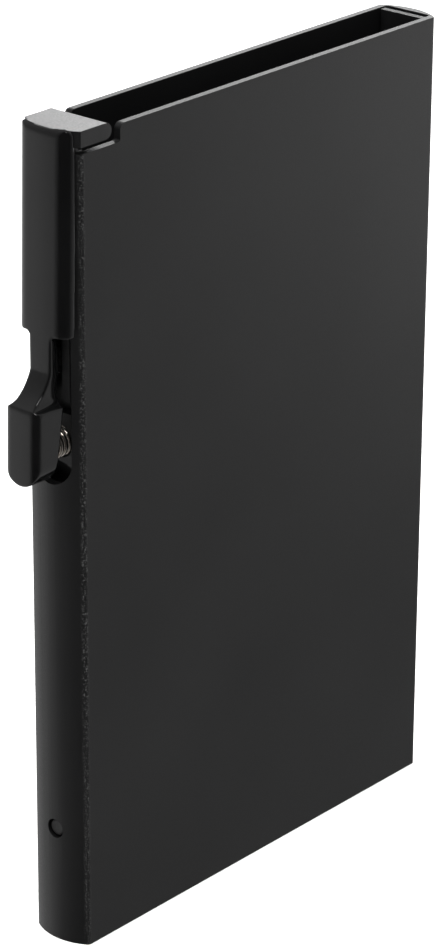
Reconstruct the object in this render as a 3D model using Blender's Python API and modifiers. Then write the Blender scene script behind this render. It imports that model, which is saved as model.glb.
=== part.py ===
"""Slim card wallet: an extruded sleeve, side guides, a base cap and a sprung side latch.

Metres, +Z up. The origin is the centre of the underside, +X runs along the width away
from the latch, and -Y is the front face. Run with: blender --background --python part.py
"""
import math

import bmesh
import bpy
from mathutils import Matrix, Vector

MM = 0.001

# Sleeve: flat front and back, narrow sides that bulge outwards
HEIGHT = 92.0 * MM
FLAT_WIDTH = 57.1 * MM
THICKNESS = 7.65 * MM
BULGE = 1.2 * MM
EDGE_RADIUS = 0.45 * MM
WALL = 0.82 * MM
BORE_HALF_WIDTH = 28.75 * MM
BORE_CORNER = 0.4 * MM

# Card space, sized for cards of 54.0 by 85.6 mm
CARD_LEFT = -26.8 * MM
CARD_RIGHT = 27.4 * MM
CARD_FLOOR = 4.7 * MM

# Notch under the hook, and slot for the lever
NOTCH_FLOOR = 90.13 * MM
NOTCH_END = -22.89 * MM
NOTCH_FILLET = 0.3 * MM
RIM_FLARE = 0.7 * MM
SLOT_HALF = 2.6 * MM
SLOT_ROUND_Z = 56.45 * MM
SLOT_REACH = -28.55 * MM

# Retaining pins through the narrow sides
PIN_Z = 13.47 * MM
PIN_HOLE_RADIUS = 1.1 * MM
PIN_RADIUS = 0.92 * MM
PIN_RECESS = 0.35 * MM
PIN_EDGE = 0.15 * MM
PIN_END = -27.2 * MM
PIN_SOCKET_FLOOR = -27.0 * MM

# Lever: hinged across the slot, hook above the hinge and thumb pad below it
PIVOT = Vector((-28.43 * MM, 0.0, 67.4 * MM))
PIVOT_RADIUS = 0.5 * MM
PIVOT_REACH = 2.3 * MM
RUNNING_GAP = 0.06 * MM
BOSS_RADIUS = 1.0 * MM
LEVER_TOP = 92.78 * MM
LEVER_LEAN = math.radians(1.4)
LEVER_FACE = -31.08 * MM
LEVER_FLANK = -29.5 * MM
BODY_FOOT = 70.7 * MM
BODY_HALF = 3.4 * MM
BODY_EDGE = 1.4 * MM
TOP_EDGE = 0.93 * MM
NECK_HALF = 1.45 * MM
NECK_FILLET = 0.6 * MM
PAD_FACE = -33.97 * MM
PAD_BACK_TOP = -29.75 * MM
PAD_BACK_FOOT = -31.3 * MM
PAD_TOP = 63.0 * MM
PAD_HALF = 2.3 * MM
PAD_ROUND_Z = 57.12 * MM
PAD_EDGE = 0.9 * MM
PAD_SHOULDER = 1.0 * MM
NECK_BACK = -29.95 * MM
NECK_BACK_FOOT = 63.85 * MM
NECK_BACK_TOP = 70.3 * MM
SWEEP_RADIUS = 6.0 * MM
SWEEP_TOP = 66.6 * MM
SWEEP_START = -20
SWEEP_END = -62
LUG_ROOT = -30.48 * MM
LUG_HALF = 1.05 * MM
LUG_RISE = 2.6 * MM
LUG_DROP = 1.4 * MM
LEVER_GAP = 0.28 * MM
SHELL_FOOT = 70.5 * MM

# Hook bar across the mouth
HOOK_FOOT = 90.83 * MM
HOOK_TOP = 92.55 * MM
HOOK_NOSE = -24.17 * MM
HOOK_GAP = 0.15 * MM
LEG_HALF = 1.8 * MM
LEG_OUTER = -29.4 * MM
LEG_INNER = -28.8 * MM
LEG_FOOT = 78.0 * MM
RIB_INNER = -29.62 * MM
RIB_HALF = 1.9 * MM
RIB_FOOT = 72.5 * MM
RIB_TOP = 89.6 * MM
STAKE_HEIGHTS = (80.5 * MM, 87.5 * MM)
STAKE_RADIUS = 0.6 * MM
STAKE_ROOT = -30.3 * MM
FIT_GAP = 0.1 * MM

# Carrier on the lever side
GUIDE_HALF = 2.8 * MM
CAP_HALF_WIDTH = 28.55 * MM
CARRIER_FACE = -28.32 * MM
RAIL_FACE = 28.15 * MM
GUIDE_FOOT = 5.0 * MM
CARRIER_TOP = 89.84 * MM
CHEEK_FACE = -29.18 * MM
CHEEK_INNER = 1.35 * MM
CHEEK_OUTER = 2.35 * MM
CHEEK_FOOT = 63.34 * MM
CHEEK_TOP = 71.6 * MM
CHEEK_ROOT = -27.0 * MM
LUG_SPACE_FOOT = 62.0 * MM
LUG_SPACE_TOP = 72.1 * MM
RECESS_FLOOR = -27.2 * MM
SEAT_TOP = 61.55 * MM
SEAT_FOOT = 56.05 * MM
SEAT_ARCH = 3.4 * MM
LOWER_RECESS_FOOT = 52.8 * MM

# Return spring, between the pad and the carrier's seat
SPRING_Z = 58.3 * MM
SPRING_RADIUS = 1.55 * MM
SPRING_WIRE = 0.18 * MM
SPRING_POCKET = 1.86 * MM
SPRING_INNER_END = -27.32 * MM
SPRING_OUTER_END = -32.48 * MM
SPRING_TURNS = 8
SPRING_STEPS = 16
SEAT_POCKET_FLOOR = -27.1 * MM
PAD_POCKET_FLOOR = -32.78 * MM

# Base cap, hollow on either side of a solid middle, and the far guide
CAP_FLOOR = 1.6 * MM
CAP_HOLLOW_HALF = 1.2 * MM
CAP_HOLLOW_START = 3.0 * MM
CAP_HOLLOW_END = 24.0 * MM
RAIL_TOP = 91.9 * MM

# Overlap between trimming guides, so that no two of their faces coincide, and how far
# cutters run past what they cut
TRIM = 0.01 * MM
PAST = 2.0 * MM
OUTSIDE = -FLAT_WIDTH / 2 - 3 * BULGE

ARC_STEPS = 6
BULGE_STEPS = 16
ROUND_STEPS = 32


def clear_scene():
    """Start from an empty file without closing it."""
    for obj in list(bpy.data.objects):
        bpy.data.objects.remove(obj, do_unlink=True)


def make_collection(name):
    """A collection under the scene's own one."""
    collection = bpy.data.collections.new(name)
    bpy.context.scene.collection.children.link(collection)
    return collection


def make_material(name, colour, roughness, metallic):
    """A Principled material in one colour."""
    material = bpy.data.materials.new(name)
    material.use_nodes = True
    shader = material.node_tree.nodes["Principled BSDF"]
    shader.inputs["Base Color"].default_value = (*colour, 1.0)
    shader.inputs["Roughness"].default_value = roughness
    shader.inputs["Metallic"].default_value = metallic
    return material


def arc(centre, radius, start, end, steps):
    """Points on an arc from one angle to another, in degrees, both ends included."""
    points = []
    for step in range(steps + 1):
        angle = math.radians(start + (end - start) * step / steps)
        points.append((centre[0] + radius * math.cos(angle), centre[1] + radius * math.sin(angle)))
    return points


def rounded_rectangle(low, high, radius):
    """A rectangle's outline with equal corner arcs, anticlockwise."""
    points = []
    points += arc((high[0] - radius, low[1] + radius), radius, -90, 0, ARC_STEPS)
    points += arc((high[0] - radius, high[1] - radius), radius, 0, 90, ARC_STEPS)
    points += arc((low[0] + radius, high[1] - radius), radius, 90, 180, ARC_STEPS)
    points += arc((low[0] + radius, low[1] + radius), radius, 180, 270, ARC_STEPS)
    return points


def sleeve_outline(offset):
    """The sleeve's plan: straight front and back, bulging sides and rounded corners."""
    half = THICKNESS / 2
    bow = (BULGE ** 2 + half ** 2) / (2 * BULGE)
    bow_centre = FLAT_WIDTH / 2 + BULGE - bow
    corner_y = half - EDGE_RADIUS
    corner_x = bow_centre + math.sqrt((bow - EDGE_RADIUS) ** 2 - corner_y ** 2)
    meet = math.degrees(math.asin(corner_y / (bow - EDGE_RADIUS)))
    right = arc((corner_x, -corner_y), EDGE_RADIUS + offset, -90, -meet, ARC_STEPS)
    right += arc((bow_centre, 0.0), bow + offset, -meet, meet, BULGE_STEPS)[1:]
    right += arc((corner_x, corner_y), EDGE_RADIUS + offset, meet, 90, ARC_STEPS)[1:]
    left = [(-x, -y) for x, y in right]
    return right + left


def prism(name, outlines, along, low, high, collection):
    """A flat outline, with any further outlines as holes, extruded from low to high.

    Outlines are (x, y) along Z, (x, z) along Y and (y, z) along X.
    """
    curve = bpy.data.curves.new(name, "CURVE")
    curve.dimensions = "2D"
    curve.fill_mode = "BOTH"
    curve.extrude = (high - low) / 2
    for outline in outlines:
        spline = curve.splines.new("POLY")
        spline.points.add(len(outline) - 1)
        for point, place in zip(spline.points, outline):
            point.co = (place[0], place[1], 0.0, 1.0)
        spline.use_cyclic_u = True
    guide = bpy.data.objects.new(name + "_outline", curve)
    collection.objects.link(guide)
    middle = (high + low) / 2
    if along == "Z":
        guide.location = (0.0, 0.0, middle)
    elif along == "Y":
        guide.rotation_euler = (math.pi / 2, 0.0, 0.0)
        guide.location = (0.0, middle, 0.0)
    else:
        guide.rotation_euler = (math.pi / 2, 0.0, math.pi / 2)
        guide.location = (middle, 0.0, 0.0)
    return curve_to_mesh(guide, name, collection)


def curve_to_mesh(guide, name, collection):
    """Turn a curve object into a welded mesh object in world space and drop the curve."""
    bpy.context.view_layer.update()
    evaluated = guide.evaluated_get(bpy.context.evaluated_depsgraph_get())
    mesh = bpy.data.meshes.new_from_object(evaluated)
    mesh.transform(guide.matrix_world)
    mesh.name = name
    welded = bmesh.new()
    welded.from_mesh(mesh)
    bmesh.ops.remove_doubles(welded, verts=welded.verts, dist=1e-6)
    bmesh.ops.dissolve_limit(welded, angle_limit=math.radians(0.05), verts=welded.verts,
                             edges=welded.edges)
    bmesh.ops.recalc_face_normals(welded, faces=welded.faces)
    welded.to_mesh(mesh)
    welded.free()
    obj = bpy.data.objects.new(name, mesh)
    collection.objects.link(obj)
    bpy.data.objects.remove(guide, do_unlink=True)
    return obj


def box(name, low, high, collection):
    """An upright box between two corners, with its scale applied."""
    mesh = bpy.data.meshes.new(name)
    cube = bmesh.new()
    bmesh.ops.create_cube(cube, size=1.0)
    size = Vector(high) - Vector(low)
    middle = (Vector(high) + Vector(low)) / 2
    bmesh.ops.scale(cube, verts=cube.verts, vec=size)
    bmesh.ops.translate(cube, verts=cube.verts, vec=middle)
    cube.to_mesh(mesh)
    cube.free()
    obj = bpy.data.objects.new(name, mesh)
    collection.objects.link(obj)
    return obj


def cylinder(name, start, end, radius, collection):
    """A closed cylinder between two points that lie along one axis."""
    mesh = bpy.data.meshes.new(name)
    drum = bmesh.new()
    line = Vector(end) - Vector(start)
    bmesh.ops.create_cone(drum, cap_ends=True, segments=ROUND_STEPS, radius1=radius,
                          radius2=radius, depth=line.length)
    bmesh.ops.rotate(drum, verts=drum.verts, cent=(0, 0, 0),
                     matrix=line.to_track_quat("Z", "Y").to_matrix())
    bmesh.ops.translate(drum, verts=drum.verts, vec=(Vector(start) + Vector(end)) / 2)
    drum.to_mesh(mesh)
    drum.free()
    obj = bpy.data.objects.new(name, mesh)
    collection.objects.link(obj)
    return obj


def boolean(obj, other, operation, solver="EXACT"):
    """Cut, join or intersect with another object, which stays hidden as a guide."""
    modifier = obj.modifiers.new(other.name, "BOOLEAN")
    modifier.operation = operation
    modifier.solver = solver
    modifier.object = other
    other.hide_render = True
    other.display_type = "WIRE"


def soften(obj, width):
    """Round the sharp edges of an object."""
    bevel = obj.modifiers.new("soft_edges", "BEVEL")
    bevel.width = width
    bevel.segments = 2
    bevel.limit_method = "ANGLE"
    bevel.angle_limit = math.radians(40)
    bevel.use_clamp_overlap = True


def lean(obj):
    """Tip a guide of the lever towards the sleeve, about the hinge line."""
    tip = Matrix.Translation(PIVOT) @ Matrix.Rotation(LEVER_LEAN, 4, "Y")
    obj.data.transform(tip @ Matrix.Translation(-PIVOT))
    return obj


def finish(obj, material):
    """Give a part its material and smooth round faces."""
    obj.data.materials.clear()
    obj.data.materials.append(material)
    obj.data.shade_smooth()
    obj.data.set_sharp_from_angle(angle=math.radians(35))


def build_sleeve(parts, cutters, material):
    """The extruded sleeve with its hook notch, lever slot and pin holes."""
    bore = rounded_rectangle((-BORE_HALF_WIDTH, WALL - THICKNESS / 2),
                             (BORE_HALF_WIDTH, THICKNESS / 2 - WALL), BORE_CORNER)
    sleeve = prism("housing", [sleeve_outline(0.0), bore], "Z", 0.0, HEIGHT, parts)
    above = HEIGHT + PAST
    notch = [(OUTSIDE, above), (OUTSIDE, NOTCH_FLOOR)]
    notch += arc((NOTCH_END - NOTCH_FILLET, NOTCH_FLOOR + NOTCH_FILLET), NOTCH_FILLET,
                 -90, 0, ARC_STEPS)
    notch += arc((NOTCH_END + RIM_FLARE, HEIGHT - RIM_FLARE), RIM_FLARE, 180, 90, ARC_STEPS)
    notch += [(NOTCH_END + RIM_FLARE, above)]
    boolean(sleeve, prism("notch_cutter", [notch], "Y", -THICKNESS, THICKNESS, cutters),
            "DIFFERENCE")
    slot = [(-SLOT_HALF, above)]
    slot += arc((0.0, SLOT_ROUND_Z), SLOT_HALF, 180, 360, ROUND_STEPS // 2)
    slot += [(SLOT_HALF, above)]
    boolean(sleeve, prism("slot_cutter", [slot], "X", OUTSIDE, SLOT_REACH, cutters),
            "DIFFERENCE")
    holes = cylinder("pin_hole_cutter", (-FLAT_WIDTH, 0, PIN_Z), (FLAT_WIDTH, 0, PIN_Z),
                     PIN_HOLE_RADIUS, cutters)
    boolean(sleeve, holes, "DIFFERENCE")
    finish(sleeve, material)
    return sleeve


def build_base_cap(parts, cutters, material):
    """The cap that closes the bottom of the sleeve, hollowed from below."""
    cap = box("base_cap", (-CAP_HALF_WIDTH, -GUIDE_HALF, 0.0),
              (CAP_HALF_WIDTH, GUIDE_HALF, CARD_FLOOR), parts)
    ceiling = CARD_FLOOR - CAP_FLOOR
    left = box("left_hollow_cutter", (-CAP_HOLLOW_END, -CAP_HOLLOW_HALF, -PAST),
               (-CAP_HOLLOW_START, CAP_HOLLOW_HALF, ceiling), cutters)
    right = box("right_hollow_cutter", (CAP_HOLLOW_START, -CAP_HOLLOW_HALF, -PAST),
                (CAP_HOLLOW_END, CAP_HOLLOW_HALF, ceiling), cutters)
    boolean(cap, left, "DIFFERENCE")
    boolean(cap, right, "DIFFERENCE")
    finish(cap, material)
    return cap


def build_carrier(parts, cutters, material):
    """The guide on the lever side, with hinge cheeks and the spring's seat."""
    carrier = box("side_carrier", (CARRIER_FACE, -GUIDE_HALF, GUIDE_FOOT),
                  (CARD_LEFT, GUIDE_HALF, CARRIER_TOP), parts)
    cheeks = box("cheek_block", (CHEEK_FACE, -CHEEK_OUTER, CHEEK_FOOT),
                 (CHEEK_ROOT, CHEEK_OUTER, CHEEK_TOP), cutters)
    boolean(carrier, cheeks, "UNION")
    boolean(carrier, box("lug_space_cutter", (OUTSIDE, -CHEEK_INNER, LUG_SPACE_FOOT),
                         (RECESS_FLOOR, CHEEK_INNER, LUG_SPACE_TOP), cutters), "DIFFERENCE")
    boolean(carrier, box("relief_cutter", (OUTSIDE, -THICKNESS, SEAT_TOP),
                         (RECESS_FLOOR, THICKNESS, CHEEK_FOOT), cutters), "DIFFERENCE")
    arch = [(-THICKNESS, LOWER_RECESS_FOOT), (THICKNESS, LOWER_RECESS_FOOT)]
    span = math.degrees(math.asin(SLOT_HALF / SEAT_ARCH))
    arch += arc((0.0, SEAT_FOOT - SEAT_ARCH), SEAT_ARCH, 90 - span, 90 + span, 2 * ARC_STEPS)
    boolean(carrier, prism("pad_space_cutter", [arch], "X", OUTSIDE, RECESS_FLOOR, cutters),
            "DIFFERENCE")
    boolean(carrier, cylinder("seat_cutter", (OUTSIDE, 0, SPRING_Z),
                              (SEAT_POCKET_FLOOR, 0, SPRING_Z), SPRING_POCKET, cutters),
            "DIFFERENCE")
    boolean(carrier, cylinder("hinge_hole_cutter", PIVOT - Vector((0, THICKNESS, 0)),
                              PIVOT + Vector((0, THICKNESS, 0)),
                              PIVOT_RADIUS + RUNNING_GAP, cutters), "DIFFERENCE")
    boolean(carrier, cylinder("left_pin_cutter", (OUTSIDE, 0, PIN_Z),
                              (PIN_SOCKET_FLOOR, 0, PIN_Z), PIN_RADIUS + FIT_GAP, cutters),
            "DIFFERENCE")
    finish(carrier, material)
    return carrier


def build_guide_rail(parts, cutters, material):
    """The thin guide on the far side of the card space."""
    rail = box("guide_rail", (CARD_RIGHT, -GUIDE_HALF, GUIDE_FOOT),
               (RAIL_FACE, GUIDE_HALF, RAIL_TOP), parts)
    boolean(rail, cylinder("right_pin_cutter", (CARD_RIGHT - PAST, 0, PIN_Z),
                           (FLAT_WIDTH, 0, PIN_Z), PIN_RADIUS + FIT_GAP, cutters),
            "DIFFERENCE")
    finish(rail, material)
    return rail


def build_retaining_pins(parts, material):
    """The two pins that hold the guides in the sleeve."""
    face = FLAT_WIDTH / 2 + BULGE - PIN_RECESS
    left = cylinder("retaining_pin_left", (-face, 0, PIN_Z), (PIN_END, 0, PIN_Z),
                    PIN_RADIUS, parts)
    right = cylinder("retaining_pin_right", (CARD_RIGHT + FIT_GAP, 0, PIN_Z),
                     (face, 0, PIN_Z), PIN_RADIUS, parts)
    for pin in (left, right):
        soften(pin, PIN_EDGE)
        finish(pin, material)


def lever_front_outline():
    """The lever seen from its own outer side, as (y, z): body, neck and round pad."""
    right = arc((0.0, PAD_ROUND_Z), PAD_HALF, -90, 0, 2 * ARC_STEPS)
    flare = PAD_HALF - NECK_HALF
    right += [(PAD_HALF, PAD_TOP)]
    right += arc((NECK_HALF + flare, PAD_TOP + PAD_SHOULDER), flare, 270, 180, ARC_STEPS)[1:]
    right += arc((NECK_HALF + NECK_FILLET, BODY_FOOT - NECK_FILLET), NECK_FILLET,
                 180, 90, ARC_STEPS)
    right += [(BODY_HALF, BODY_FOOT)]
    crest = LEVER_TOP - TOP_EDGE + TRIM
    right += arc((BODY_HALF - TOP_EDGE, crest), TOP_EDGE, 0, 90, ARC_STEPS)
    left = [(-y, z) for y, z in reversed(right)]
    return right + left[:-1]


def lever_side_outline():
    """The lever seen along its hinge, as (x, z)."""
    outline = [(PAD_BACK_FOOT, PAD_ROUND_Z - 2 * PAD_HALF), (PAD_BACK_TOP, NECK_BACK_FOOT)]
    outline += [(NECK_BACK, NECK_BACK_FOOT), (NECK_BACK, NECK_BACK_TOP)]
    outline += [(LEVER_FLANK, BODY_FOOT), (LEVER_FLANK, LEVER_TOP)]
    outline += arc((LEVER_FACE + TOP_EDGE, LEVER_TOP - TOP_EDGE), TOP_EDGE, 90, 180, ARC_STEPS)
    tilt = math.radians(SWEEP_START)
    centre = (LEVER_FACE - SWEEP_RADIUS * math.cos(tilt), SWEEP_TOP - SWEEP_RADIUS * math.sin(tilt))
    outline += arc(centre, SWEEP_RADIUS, SWEEP_START, SWEEP_END, 2 * ARC_STEPS)
    outline += [(PAD_FACE, PAD_TOP), (PAD_FACE, PAD_ROUND_Z - 2 * PAD_HALF)]
    return outline


def plan_block(name, face, half, edge, low, high, collection):
    """An upright block whose two outer edges are rounded, to trim the lever's corners."""
    inner = LEVER_FLANK + PAST
    outline = [(inner, -half), (inner, half)]
    outline += arc((face + edge, half - edge), edge, 90, 180, ARC_STEPS)
    outline += arc((face + edge, edge - half), edge, 180, 270, ARC_STEPS)
    return prism(name, [outline], "Z", low, high, collection)


def build_lever_cover(parts, cutters, material):
    """The glossy lever: cover, neck, thumb pad and the hinge lug behind them."""
    lever = prism("lever_cover", [lever_front_outline()], "X", PAD_FACE - PAST,
                  LEVER_FLANK + PAST / 2, parts)
    side = prism("lever_side", [lever_side_outline()], "Y", -THICKNESS, THICKNESS, cutters)
    plan = plan_block("body_plan", LEVER_FACE - TRIM, BODY_HALF + TRIM, BODY_EDGE,
                      BODY_FOOT - 3 * NECK_FILLET, LEVER_TOP + PAST, cutters)
    lower = plan_block("pad_plan", PAD_FACE - TRIM, PAD_HALF + TRIM, PAD_EDGE,
                       PAD_ROUND_Z - 2 * PAD_HALF, BODY_FOOT - 2 * NECK_FILLET, cutters)
    for guide in (lever, side, plan, lower):
        lean(guide)
    boolean(plan, lower, "UNION", "MANIFOLD")
    boolean(lever, side, "INTERSECT", "MANIFOLD")
    boolean(lever, plan, "INTERSECT", "MANIFOLD")
    shell = prism("sleeve_clearance_cutter", [sleeve_outline(LEVER_GAP)], "Z",
                  SHELL_FOOT, LEVER_TOP + PAST, cutters)
    boolean(lever, shell, "DIFFERENCE", "MANIFOLD")
    pocket = cylinder("pad_pocket_cutter", (PAD_POCKET_FLOOR, 0, SPRING_Z),
                      (CARD_LEFT, 0, SPRING_Z), SPRING_POCKET, cutters)
    boolean(lever, pocket, "DIFFERENCE", "MANIFOLD")
    rib = box("cover_rib", (STAKE_ROOT, -RIB_HALF, RIB_FOOT), (RIB_INNER, RIB_HALF, RIB_TOP),
              cutters)
    boolean(lever, rib, "UNION", "MANIFOLD")
    for number, height in enumerate(STAKE_HEIGHTS):
        stake = cylinder("cover_stake_%d" % number, (STAKE_ROOT - TRIM, 0, height),
                         (LEG_INNER, 0, height), STAKE_RADIUS, cutters)
        boolean(lever, stake, "UNION", "MANIFOLD")
    lug = [(LUG_ROOT, PIVOT.z + LUG_RISE), (LUG_ROOT, PIVOT.z - LUG_DROP)]
    lug += arc((PIVOT.x, PIVOT.z), BOSS_RADIUS, -90, 60, 2 * ARC_STEPS)
    boolean(lever, prism("hinge_lug", [lug], "Y", -LUG_HALF, LUG_HALF, cutters), "UNION",
            "MANIFOLD")
    hole = cylinder("lug_hole_cutter", PIVOT - Vector((0, THICKNESS, 0)),
                    PIVOT + Vector((0, THICKNESS, 0)), PIVOT_RADIUS + RUNNING_GAP, cutters)
    boolean(lever, hole, "DIFFERENCE", "MANIFOLD")
    finish(lever, material)
    return lever


def build_hook(parts, cutters, material):
    """The hook bar over the corner of the mouth, on a leg that hangs inside the slot."""
    nose = (HOOK_TOP - HOOK_FOOT) / 2
    profile = [(OUTSIDE, HOOK_TOP), (OUTSIDE, HOOK_FOOT)]
    profile += arc((HOOK_NOSE - nose, HOOK_FOOT + nose), nose, -90, 90, 2 * ARC_STEPS)
    hook = prism("latch_hook", [profile], "Y", -THICKNESS / 2, THICKNESS / 2, parts)
    plan = prism("hook_plan", [sleeve_outline(HOOK_GAP)], "Z", HOOK_FOOT - PAST,
                 HOOK_TOP + PAST, cutters)
    boolean(hook, plan, "INTERSECT", "MANIFOLD")
    leg = box("hook_leg", (LEG_OUTER, -LEG_HALF, LEG_FOOT),
              (LEG_INNER, LEG_HALF, HOOK_FOOT + nose), cutters)
    boolean(hook, leg, "UNION", "MANIFOLD")
    for number, height in enumerate(STAKE_HEIGHTS):
        hole = cylinder("stake_hole_cutter_%d" % number, (OUTSIDE, 0, height),
                        (CARD_LEFT, 0, height), STAKE_RADIUS + FIT_GAP, cutters)
        boolean(hook, hole, "DIFFERENCE", "MANIFOLD")
    finish(hook, material)
    return hook


def build_pivot_pin(parts, material):
    """The hinge pin through the lug and both cheeks."""
    reach = Vector((0, PIVOT_REACH, 0))
    pin = cylinder("pivot_pin", PIVOT - reach, PIVOT + reach, PIVOT_RADIUS, parts)
    finish(pin, material)
    return pin


def build_spring(parts, material):
    """The return spring, a helix whose axis runs along X."""
    curve = bpy.data.curves.new("return_spring", "CURVE")
    curve.dimensions = "3D"
    curve.bevel_depth = SPRING_WIRE
    curve.bevel_resolution = 2
    curve.use_fill_caps = True
    spline = curve.splines.new("POLY")
    count = SPRING_TURNS * SPRING_STEPS + 1
    spline.points.add(count - 1)
    for index, point in enumerate(spline.points):
        share = index / (count - 1)
        angle = 2 * math.pi * SPRING_TURNS * share
        x = SPRING_OUTER_END + (SPRING_INNER_END - SPRING_OUTER_END) * share
        y = SPRING_RADIUS * math.cos(angle)
        z = SPRING_Z + SPRING_RADIUS * math.sin(angle)
        point.co = (x, y, z, 1.0)
    guide = bpy.data.objects.new("return_spring_path", curve)
    parts.objects.link(guide)
    spring = curve_to_mesh(guide, "return_spring", parts)
    finish(spring, material)
    return spring


def hang_on_pivot(pieces, parts):
    """Parent the moving pieces to an empty on the hinge line."""
    pivot = bpy.data.objects.new("lever_pivot", None)
    pivot.location = PIVOT
    pivot.empty_display_size = 3 * MM
    parts.objects.link(pivot)
    for piece in pieces:
        piece.parent = pivot
        piece.location = -PIVOT


def build_wallet():
    """Build every piece in its place."""
    clear_scene()
    parts = make_collection("minimalist_wallet")
    cutters = make_collection("cutters")
    anodised = make_material("anodised_black", (0.018, 0.018, 0.018), 0.42, 0.6)
    satin = make_material("satin_black", (0.03, 0.03, 0.031), 0.35, 0.5)
    gloss = make_material("gloss_black", (0.012, 0.012, 0.012), 0.12, 0.0)
    moulded = make_material("moulded_black", (0.015, 0.015, 0.015), 0.5, 0.0)
    steel = make_material("spring_steel", (0.62, 0.58, 0.53), 0.22, 1.0)
    build_sleeve(parts, cutters, anodised)
    build_base_cap(parts, cutters, moulded)
    build_carrier(parts, cutters, moulded)
    build_guide_rail(parts, cutters, moulded)
    build_retaining_pins(parts, moulded)
    lever = build_lever_cover(parts, cutters, gloss)
    hook = build_hook(parts, cutters, satin)
    pin = build_pivot_pin(parts, steel)
    build_spring(parts, steel)
    hang_on_pivot([lever, hook, pin], parts)
    bpy.context.view_layer.update()


build_wallet()
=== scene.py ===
import math

import bpy
from mathutils import Matrix, Vector


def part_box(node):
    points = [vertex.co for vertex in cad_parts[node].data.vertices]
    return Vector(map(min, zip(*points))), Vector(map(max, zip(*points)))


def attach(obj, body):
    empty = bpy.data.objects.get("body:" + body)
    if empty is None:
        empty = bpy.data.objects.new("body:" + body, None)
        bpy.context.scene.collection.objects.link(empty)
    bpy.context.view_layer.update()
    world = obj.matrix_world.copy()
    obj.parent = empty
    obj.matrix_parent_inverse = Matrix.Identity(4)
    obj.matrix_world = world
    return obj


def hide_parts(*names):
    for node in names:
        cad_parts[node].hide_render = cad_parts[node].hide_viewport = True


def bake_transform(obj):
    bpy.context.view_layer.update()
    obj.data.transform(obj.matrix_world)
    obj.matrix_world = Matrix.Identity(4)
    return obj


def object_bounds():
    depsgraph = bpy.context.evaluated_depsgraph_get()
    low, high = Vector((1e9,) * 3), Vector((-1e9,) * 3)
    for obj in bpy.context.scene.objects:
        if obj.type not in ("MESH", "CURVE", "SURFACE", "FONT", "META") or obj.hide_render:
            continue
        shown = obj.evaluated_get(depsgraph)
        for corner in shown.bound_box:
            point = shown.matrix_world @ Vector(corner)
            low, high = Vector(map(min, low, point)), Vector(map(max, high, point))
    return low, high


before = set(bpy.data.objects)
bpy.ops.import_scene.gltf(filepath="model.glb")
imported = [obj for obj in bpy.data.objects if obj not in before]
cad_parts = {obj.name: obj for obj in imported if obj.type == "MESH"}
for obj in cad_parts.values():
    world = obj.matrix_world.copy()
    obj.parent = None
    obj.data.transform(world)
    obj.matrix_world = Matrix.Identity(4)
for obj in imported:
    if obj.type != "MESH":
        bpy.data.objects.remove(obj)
cad_low, cad_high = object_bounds()
MM = 0.001


# The sleeve: one length of extruded aluminium, bead blasted and anodised black. Its narrow
# sides bulge, its mouth is machined square with the edges broken so that they catch the
# light, and the corner is notched for the hook.
def pick(piece):
    """Make a piece the only one selected."""
    bpy.ops.object.select_all(action="DESELECT")
    piece.select_set(True)
    bpy.context.view_layer.objects.active = piece


def welded_copy(node, name):
    """A copy of a CAD node with its loose triangles welded into clean faces."""
    weld_distance = 0.001 * MM
    flat_angle = math.radians(0.4)
    piece = bpy.data.objects.new(name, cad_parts[node].data.copy())
    bpy.context.scene.collection.objects.link(piece)
    pick(piece)
    bpy.ops.mesh.customdata_custom_splitnormals_clear()
    bpy.ops.object.mode_set(mode="EDIT")
    bpy.ops.mesh.select_all(action="SELECT")
    bpy.ops.mesh.remove_doubles(threshold=weld_distance)
    bpy.ops.mesh.dissolve_limited(angle_limit=flat_angle)
    bpy.ops.mesh.select_all(action="DESELECT")
    bpy.ops.object.mode_set(mode="OBJECT")
    return piece


def break_top_edges(piece, top, width, segments):
    """Round the sharp edges in the top plane of a piece, by a width at most.

    The rounding is clamped where the short edges beside it would overlap.
    """
    sharp_angle = math.radians(50)
    depth = 0.05 * MM
    pick(piece)
    bpy.ops.object.mode_set(mode="EDIT")
    bpy.ops.mesh.select_mode(type="EDGE")
    bpy.ops.mesh.select_all(action="DESELECT")
    bpy.ops.mesh.edges_select_sharp(sharpness=sharp_angle)
    bpy.ops.object.mode_set(mode="OBJECT")
    points = piece.data.vertices
    for edge in piece.data.edges:
        if edge.select and not all(points[end].co.z > top - depth for end in edge.vertices):
            edge.select = False
    bpy.ops.object.mode_set(mode="EDIT")
    bpy.ops.mesh.bevel(offset=width, segments=segments, profile=0.5, affect="EDGES",
                       clamp_overlap=True)
    bpy.ops.object.mode_set(mode="OBJECT")


def smooth_faces(piece, angle=35):
    """Smooth shading with sharp creases kept, and with the large faces left flat."""
    pick(piece)
    bpy.ops.object.shade_smooth_by_angle(angle=math.radians(angle))
    weigh = piece.modifiers.new("weigh", "WEIGHTED_NORMAL")
    weigh.keep_sharp = True
    weigh.weight = 90
    bpy.ops.object.modifier_apply(modifier="weigh")


def dress(piece, material):
    """Give a piece one material."""
    piece.data.materials.clear()
    piece.data.materials.append(material)


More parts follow.
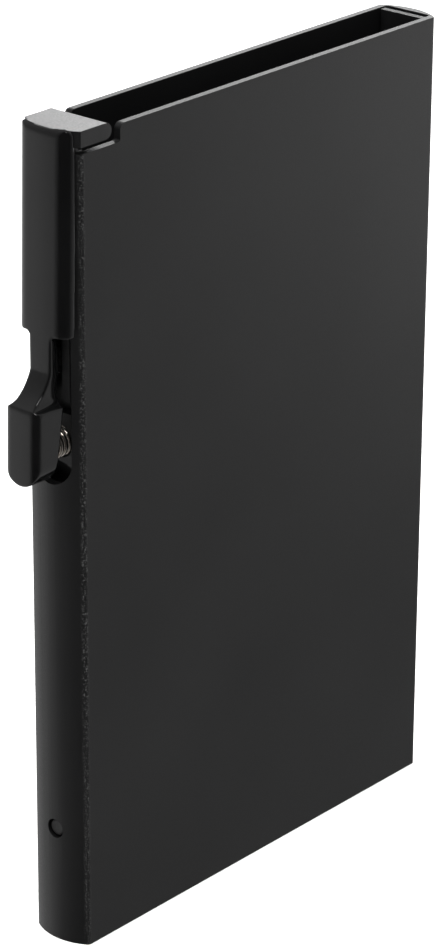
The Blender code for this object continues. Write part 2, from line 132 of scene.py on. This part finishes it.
class Finish:
    """A surface finish made of nodes, with its Principled shader ready."""

    def __init__(self, name):
        self.material = bpy.data.materials.new(name)
        self.material.use_nodes = True
        self.tree = self.material.node_tree
        self.shader = self.tree.nodes["Principled BSDF"]
        self.place = self.tree.nodes.new("ShaderNodeTexCoord").outputs["Object"]

    def node(self, kind, **settings):
        """A new node with its settings."""
        made = self.tree.nodes.new(kind)
        for key, value in settings.items():
            setattr(made, key, value)
        return made

    def join(self, source, target):
        """A link from an output to an input."""
        self.tree.links.new(source, target)

    def drive(self, socket, source):
        """A link from an output to one of the shader's own inputs."""
        self.join(source, self.shader.inputs[socket])

    def noise(self, scale, detail=4.0, roughness=0.5, stretch=(1.0, 1.0, 1.0)):
        """Noise over the piece, with its scale in features per metre."""
        mapping = self.node("ShaderNodeMapping")
        mapping.inputs["Scale"].default_value = stretch
        self.join(self.place, mapping.inputs["Vector"])
        grain = self.node("ShaderNodeTexNoise")
        grain.inputs["Scale"].default_value = scale
        grain.inputs["Detail"].default_value = detail
        grain.inputs["Roughness"].default_value = roughness
        self.join(mapping.outputs["Vector"], grain.inputs["Vector"])
        return grain.outputs["Fac"]

    def ramp(self, factor, dark, light):
        """A blend between two colours over the middle of a factor's range."""
        ramp = self.node("ShaderNodeValToRGB")
        ramp.color_ramp.elements[0].position = 0.3
        ramp.color_ramp.elements[0].color = (*dark, 1.0)
        ramp.color_ramp.elements[1].position = 0.7
        ramp.color_ramp.elements[1].color = (*light, 1.0)
        self.join(factor, ramp.inputs["Fac"])
        return ramp.outputs["Color"]

    def spread(self, factor, low, high, start=0.3, end=0.7):
        """A factor spread over a range of values."""
        spread = self.node("ShaderNodeMapRange")
        spread.inputs["From Min"].default_value = start
        spread.inputs["From Max"].default_value = end
        spread.inputs["To Min"].default_value = low
        spread.inputs["To Max"].default_value = high
        self.join(factor, spread.inputs["Value"])
        return spread.outputs["Result"]

    def calculate(self, operation, first, second=0.0):
        """One step of arithmetic on numbers or outputs."""
        step = self.node("ShaderNodeMath", operation=operation)
        for place, value in enumerate((first, second)):
            if isinstance(value, float):
                step.inputs[place].default_value = value
            else:
                self.join(value, step.inputs[place])
        return step.outputs["Value"]

    def bump(self, factor, depth, strength, below=None):
        """Relief with its depth in metres, over any coarser relief below it."""
        bump = self.node("ShaderNodeBump")
        bump.inputs["Strength"].default_value = strength
        bump.inputs["Distance"].default_value = depth
        self.join(factor, bump.inputs["Height"])
        if below is not None:
            self.join(below, bump.inputs["Normal"])
        return bump.outputs["Normal"]


# The most that the rim may be rounded: short edges in its arcs hold it to about 0.05 mm
RIM_BREAK = 0.13 * MM
BULGE_DEPTH = 1.15 * MM
CORNER_DEPTH = 0.15 * MM
# Where the painted corner highlight starts to fade and where it ends, measured from the
# corner line
GLINT_START = 0.15 * MM
GLINT_END = 0.5 * MM
sleeve_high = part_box("housing")[1]
sleeve = welded_copy("housing", "extruded_sleeve")
break_top_edges(sleeve, sleeve_high.z, RIM_BREAK, 3)
smooth_faces(sleeve)

anodised = Finish("anodised_aluminium")
blasted = anodised.noise(7000.0, 3.0, 0.6)
extruded = anodised.noise(260.0, 5.0, 0.55, (1.0, 1.0, 0.06))
# Painted highlight: fine bright specks along the four long corners, painted in place of the
# glints that their rounded edges catch
split = anodised.node("ShaderNodeSeparateXYZ")
anodised.join(anodised.place, split.inputs["Vector"])
across = anodised.calculate("SUBTRACT", anodised.calculate("ABSOLUTE", split.outputs["X"]),
                            sleeve_high.x - BULGE_DEPTH)
through = anodised.calculate("SUBTRACT", anodised.calculate("ABSOLUTE", split.outputs["Y"]),
                             sleeve_high.y - CORNER_DEPTH)
across_squared = anodised.calculate("MULTIPLY", across, across)
through_squared = anodised.calculate("MULTIPLY", through, through)
from_corner = anodised.calculate("SQRT", anodised.calculate("ADD", across_squared,
                                                            through_squared))
near_corner = anodised.spread(from_corner, 1.0, 0.0, GLINT_START, GLINT_END)
glint_specks = anodised.spread(anodised.noise(5200.0, 2.0, 0.6), 0.0, 1.0, 0.5, 0.7)
corner_glints = anodised.node("ShaderNodeMix", data_type="RGBA")
anodised.join(anodised.calculate("MULTIPLY", near_corner, glint_specks), corner_glints.inputs["Factor"])
dye = anodised.ramp(anodised.noise(60.0, 3.0), (0.0042, 0.0042, 0.0044),
                    (0.0066, 0.0066, 0.0068))
anodised.join(dye, corner_glints.inputs["A"])
# The bright colour of the painted corner highlight
corner_glints.inputs["B"].default_value = (0.06, 0.06, 0.06, 1.0)
anodised.drive("Base Color", corner_glints.outputs["Result"])
anodised.drive("Roughness", anodised.spread(blasted, 0.36, 0.5))
blast_marks = anodised.bump(blasted, 0.004 * MM, 0.5)
anodised.drive("Normal", anodised.bump(extruded, 0.01 * MM, 0.25, blast_marks))
anodised.shader.inputs["Specular IOR Level"].default_value = 0.36
dress(sleeve, anodised.material)
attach(sleeve, "case")
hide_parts("housing")


# The moulded pieces inside the sleeve: the carrier on the lever side, the thin guide rail on
# the other, the cap that closes the bottom and the two pins that lock them. All are black
# nylon with the fine spark texture of their tool.
moulded = Finish("moulded_nylon")
spark = moulded.noise(4200.0, 4.0, 0.6)
moulded.drive("Base Color", moulded.ramp(moulded.noise(420.0), (0.006, 0.006, 0.0062),
                                         (0.011, 0.011, 0.0112)))
moulded.drive("Roughness", moulded.spread(spark, 0.42, 0.6))
moulded.drive("Normal", moulded.bump(spark, 0.012 * MM, 0.5))
for moulding in ("base_cap", "side_carrier", "guide_rail", "retaining_pin_left",
                 "retaining_pin_right"):
    dress(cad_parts[moulding], moulded.material)


# The return spring: music wire wound in eight turns, pressed between the carrier's seat and
# the pad of the lever, with both ends cut square.
WIRE_RADIUS = 0.18 * MM
TURNS = 8
STEPS_IN_A_TURN = 32
spring_low, spring_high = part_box("return_spring")
coil_radius = (spring_high.z - spring_low.z) / 2 - WIRE_RADIUS
coil_height = (spring_high.z + spring_low.z) / 2
coil_length = spring_high.x - spring_low.x - 2 * WIRE_RADIUS
bpy.ops.object.select_all(action="DESELECT")
bpy.ops.mesh.primitive_circle_add(vertices=12, radius=WIRE_RADIUS, location=(0, 0, 0))
spring = bpy.context.active_object
spring.name = "coil_spring"
bpy.ops.object.mode_set(mode="EDIT")
bpy.ops.mesh.select_all(action="SELECT")
bpy.ops.transform.translate(value=(0, coil_radius, 0))
bpy.ops.object.mode_set(mode="OBJECT")
winding = spring.modifiers.new("winding", "SCREW")
winding.axis = "X"
winding.angle = 2 * math.pi
winding.iterations = TURNS
winding.screw_offset = coil_length / TURNS
winding.steps = STEPS_IN_A_TURN
winding.render_steps = STEPS_IN_A_TURN
bpy.ops.object.modifier_apply(modifier="winding")
spring.location = (spring_low.x + WIRE_RADIUS, 0, coil_height)
bpy.ops.object.transform_apply(location=True, rotation=True, scale=True)
bpy.ops.object.mode_set(mode="EDIT")
bpy.ops.mesh.select_all(action="DESELECT")
bpy.ops.mesh.select_mode(type="VERT")
bpy.ops.mesh.select_non_manifold()
bpy.ops.mesh.fill()
bpy.ops.mesh.select_all(action="SELECT")
bpy.ops.mesh.normals_make_consistent(inside=False)
bpy.ops.object.mode_set(mode="OBJECT")
smooth_faces(spring, 60)

steel = Finish("spring_steel")
drawn = steel.noise(2600.0, 3.0, 0.5, (0.3, 1.0, 1.0))
steel.drive("Base Color", steel.ramp(drawn, (0.5, 0.44, 0.38), (0.78, 0.74, 0.69)))
steel.drive("Roughness", steel.spread(drawn, 0.12, 0.26))
steel.drive("Normal", steel.bump(drawn, 0.004 * MM, 0.4))
steel.shader.inputs["Metallic"].default_value = 1.0
dress(spring, steel.material)
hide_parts("return_spring")
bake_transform(spring)


# The pivot pin: a short length of the same drawn steel, pressed through the carrier's two
# cheeks and the lever's lug.
dress(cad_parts["pivot_pin"], steel.material)


# The lever: the cover, neck and thumb pad are one glossy black moulding that turns on the
# pivot pin. Every outer edge is softly rounded and polished, and the cover is crowned from
# side to side.
SKIN_GRID = 0.1 * MM
# The fall of the crown at the full half width: the rounded edges hold it to 0.07 mm
CROWN = 0.12 * MM
lever_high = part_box("lever_cover")[1]
lever = welded_copy("lever_cover", "gloss_lever")
pick(lever)
skin = lever.modifiers.new("skin", "REMESH")
skin.mode = "VOXEL"
skin.voxel_size = SKIN_GRID
bpy.ops.object.modifier_apply(modifier="skin")
relax = lever.modifiers.new("relax", "SMOOTH")
relax.factor = 0.5
relax.iterations = 14
bpy.ops.object.modifier_apply(modifier="relax")
outward = [max(0.0, -point.normal.x) for point in lever.data.vertices]
for point, share in zip(lever.data.vertices, outward):
    point.co.x += CROWN * share * (point.co.y / lever_high.y) ** 2
bpy.ops.object.shade_smooth()

gloss = Finish("gloss_black")
gloss.drive("Base Color", gloss.ramp(gloss.noise(130.0, 3.0), (0.0020, 0.0020, 0.0021),
                                     (0.0032, 0.0032, 0.0033)))
orange_peel = gloss.noise(900.0, 2.0, 0.4)
gloss.drive("Roughness", gloss.spread(orange_peel, 0.07, 0.12))
gloss.drive("Normal", gloss.bump(orange_peel, 0.002 * MM, 0.3))
gloss.shader.inputs["IOR"].default_value = 1.5
dress(lever, gloss.material)
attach(lever, "lever")
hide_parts("lever_cover")


# The hook bar: a satin black metal piece that closes the corner of the mouth. Its leg hangs
# in the slot and is staked to the lever, and its top edges are only lightly broken.
# The most that they may be rounded: short edges in the nose hold it to about 0.06 mm
HOOK_ROUNDING = 0.25 * MM
hook_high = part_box("latch_hook")[1]
hook = welded_copy("latch_hook", "hook_bar")
break_top_edges(hook, hook_high.z, HOOK_ROUNDING, 4)
smooth_faces(hook)

satin = Finish("satin_black")
rubbed = satin.noise(5200.0, 3.0, 0.55)
satin.drive("Base Color", satin.ramp(satin.noise(300.0, 3.0), (0.0060, 0.0060, 0.0062),
                                     (0.0095, 0.0095, 0.0098)))
satin.drive("Roughness", satin.spread(rubbed, 0.28, 0.4))
satin.drive("Normal", satin.bump(rubbed, 0.004 * MM, 0.5))
satin.shader.inputs["Specular IOR Level"].default_value = 0.42
dress(hook, satin.material)
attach(hook, "lever")
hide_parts("latch_hook")


# The floor: a sheet of white paper that runs far back, kept out of reflections so that it can
# be white while black surfaces stay black.
bpy.ops.object.select_all(action="DESELECT")
bpy.ops.mesh.primitive_plane_add(size=6.0, location=(0, 0, 0))
floor = bpy.context.active_object
floor.name = "studio_floor"
floor.visible_glossy = False
paper = Finish("floor_paper")
paper.drive("Base Color", paper.ramp(paper.noise(3.0, 3.0), (0.9, 0.9, 0.9),
                                     (0.93, 0.93, 0.93)))
paper.shader.inputs["Roughness"].default_value = 0.9
dress(floor, paper.material)


# The room: even grey walls that darken towards the front left, with a brighter wall low down
# behind, which shades the narrow side and the lever from side to side.
DARK_SIDE = (-0.72, -0.62, 0.30)
BRIGHT_SIDE = (0.0, 0.93, -0.37)
room = bpy.data.worlds.new("studio_room")
room.use_nodes = True
walls = room.node_tree.nodes
links = room.node_tree.links
direction = walls.new("ShaderNodeTexCoord").outputs["Generated"]


def towards(side):
    """How far a direction in the room points to one side, from -1 to 1."""
    facing = walls.new("ShaderNodeVectorMath")
    facing.operation = "DOT_PRODUCT"
    facing.inputs[1].default_value = side
    links.new(direction, facing.inputs[0])
    return facing.outputs["Value"]


shade = walls.new("ShaderNodeValToRGB")
shade.color_ramp.elements[0].position = 0.0
shade.color_ramp.elements[0].color = (0.44, 0.44, 0.44, 1.0)
shade.color_ramp.elements[1].position = 0.6
shade.color_ramp.elements[1].color = (0.04, 0.04, 0.04, 1.0)
links.new(towards(DARK_SIDE), shade.inputs["Fac"])
glow = walls.new("ShaderNodeMapRange")
glow.inputs["From Min"].default_value = 0.6
glow.inputs["From Max"].default_value = 0.85
glow.inputs["To Min"].default_value = 0.0
glow.inputs["To Max"].default_value = 0.45
links.new(towards(BRIGHT_SIDE), glow.inputs["Value"])
both = walls.new("ShaderNodeMath")
both.operation = "ADD"
links.new(shade.outputs["Color"], both.inputs[0])
links.new(glow.outputs["Result"], both.inputs[1])
links.new(both.outputs["Value"], walls["Background"].inputs["Color"])
walls["Background"].inputs["Strength"].default_value = 1.0
bpy.context.scene.world = room
bpy.context.scene.view_settings.view_transform = "Standard"


# The lamps: a wide one overhead lights the floor, one behind on the right lights the machined
# rims, a card low on the right lifts the front face, and one at the front left puts glints on
# the lever.
def soft_box(name, place, side, power):
    """A square lamp that faces the middle of the wallet."""
    bpy.ops.object.light_add(type="AREA", location=place)
    lamp = bpy.context.active_object
    lamp.name = name
    lamp.data.shape = "RECTANGLE"
    lamp.data.size = side
    lamp.data.size_y = side
    lamp.data.energy = power
    aim = (cad_low + cad_high) / 2 - Vector(place)
    lamp.rotation_euler = aim.to_track_quat("-Z", "Y").to_euler()
    return lamp


overhead = soft_box("overhead_box", (0.0, 0.1, 1.6), 1.6, 62.0)
overhead.visible_glossy = False
soft_box("rim_box", (0.64, 0.44, 0.385), 0.35, 1.65)
bounce = soft_box("bounce_card", (0.25, -0.10, 0.02), 0.12, 0.07)
bounce.visible_camera = False
soft_box("spark_box", (-0.21, -0.35, 0.60), 0.22, 1.6)


# The camera: a long lens at the front left, a little above the wallet, which it looks down
# on at 23 degrees.
AZIMUTH = math.radians(-49.352)
ELEVATION = math.radians(23.004)
ROLL = math.radians(0.314)
CAMERA_PLACE = (-0.288685, -0.245193, 0.206456)
back = Vector((math.sin(AZIMUTH) * math.cos(ELEVATION),
               -math.cos(AZIMUTH) * math.cos(ELEVATION), math.sin(ELEVATION)))
right = Vector((math.cos(AZIMUTH), math.sin(AZIMUTH), 0.0))
up = back.cross(right)
rolled_right = math.cos(ROLL) * right + math.sin(ROLL) * up
rolled_up = math.cos(ROLL) * up - math.sin(ROLL) * right
axes = Matrix((rolled_right, rolled_up, back)).transposed()
bpy.ops.object.camera_add(location=(0, 0, 0))
camera = bpy.context.active_object
camera.matrix_world = Matrix.Translation(CAMERA_PLACE) @ axes.to_4x4()
camera.data.sensor_fit = "AUTO"
camera.data.sensor_width = 36.0
camera.data.lens = 142.57
camera.data.clip_start = 0.01
camera.data.clip_end = 20.0
bpy.context.scene.camera = camera
